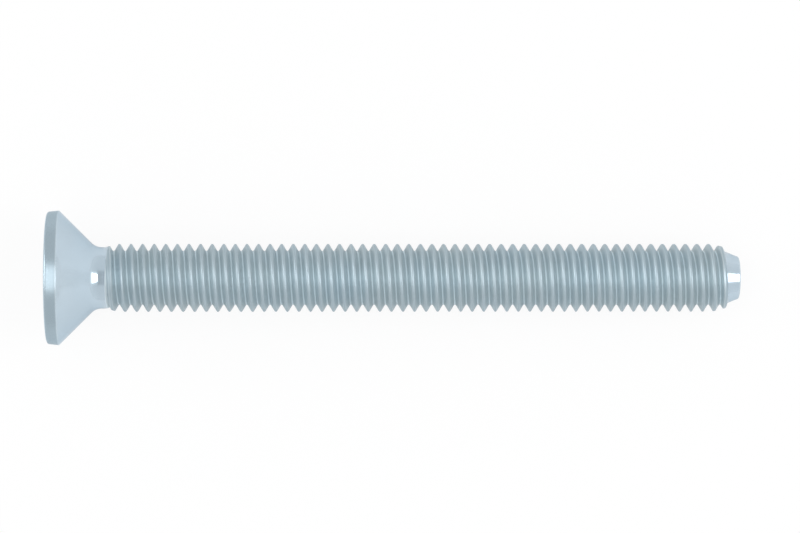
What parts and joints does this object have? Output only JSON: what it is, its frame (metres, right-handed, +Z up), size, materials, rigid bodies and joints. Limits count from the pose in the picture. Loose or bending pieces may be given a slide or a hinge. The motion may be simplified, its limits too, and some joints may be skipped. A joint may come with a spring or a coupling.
{
  "type": "countersunk socket screw",
  "caption": "Long countersunk machine screw with a hexagon socket, threaded along its shank up to a short neck under the head.",
  "frame": {"origin": "centre of the bounding box in X and Y, on the surface the screw lies on", "axes": "+Z up; +X the way the screw points along that surface, from its head to its point; its own axis leans down towards the point by 2.9 degrees, because it rests on the rim of its head and the end of its thread"},
  "size_m": [0.0598, 0.0116, 0.0116],
  "materials": {
    "zinc_plated_steel": "satin"
  },
  "bodies": {
    "root": {"countersunk_screw": "zinc_plated_steel"}
  },
  "joints": []
}
